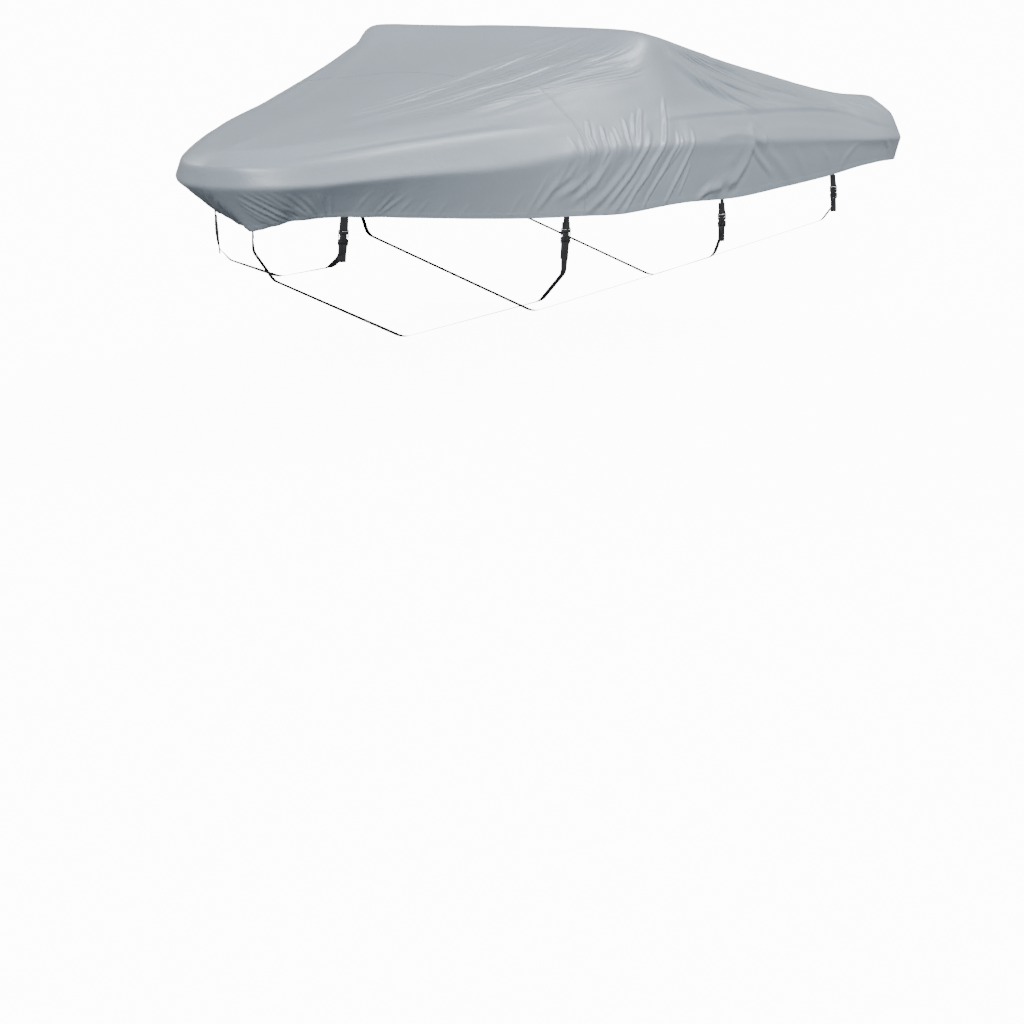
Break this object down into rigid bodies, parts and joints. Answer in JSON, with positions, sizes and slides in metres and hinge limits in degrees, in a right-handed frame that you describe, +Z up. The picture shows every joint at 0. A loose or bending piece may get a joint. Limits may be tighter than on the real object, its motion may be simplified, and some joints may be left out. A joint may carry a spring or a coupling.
{
  "type": "boat cover",
  "caption": "Fitted cover for a small runabout boat: raised over the windscreen, gathered under the bow, with webbing belly straps and side-release buckles.",
  "frame": {"origin": "underside of the cloth at the middle of the windscreen crest, where the boat carries it", "axes": "+X from the bow towards the stern, +Y to starboard, +Z up"},
  "size_m": [5.4718, 2.2451, 1.4706],
  "materials": {
    "cloth": "coated woven polyester, light grey, low sheen",
    "webbing": "flat woven webbing, black",
    "buckle": "moulded plastic, black"
  },
  "bodies": {
    "root": {"cover_bow_panel": "cloth", "cover_aft_panel": "cloth", "tab_bow_port": "webbing", "tab_bow_starboard": "webbing", "tab_fore_port": "webbing", "tab_fore_starboard": "webbing", "tab_mid_port": "webbing", "tab_mid_starboard": "webbing", "tab_aft_port": "webbing", "tab_aft_starboard": "webbing", "buckle_plug_bow_port": "buckle", "buckle_socket_bow_port": "buckle", "buckle_plug_bow_starboard": "buckle", "buckle_socket_bow_starboard": "buckle", "buckle_plug_fore_port": "buckle", "buckle_socket_fore_port": "buckle", "buckle_plug_fore_starboard": "buckle", "buckle_socket_fore_starboard": "buckle", "buckle_plug_mid_port": "buckle", "buckle_socket_mid_port": "buckle", "buckle_plug_mid_starboard": "buckle", "buckle_socket_mid_starboard": "buckle", "buckle_plug_aft_port": "buckle", "buckle_socket_aft_port": "buckle", "buckle_plug_aft_starboard": "buckle", "buckle_socket_aft_starboard": "buckle", "belly_strap_bow": "webbing", "belly_strap_fore": "webbing", "belly_strap_mid": "webbing", "belly_strap_aft": "webbing"}
  },
  "joints": []
}
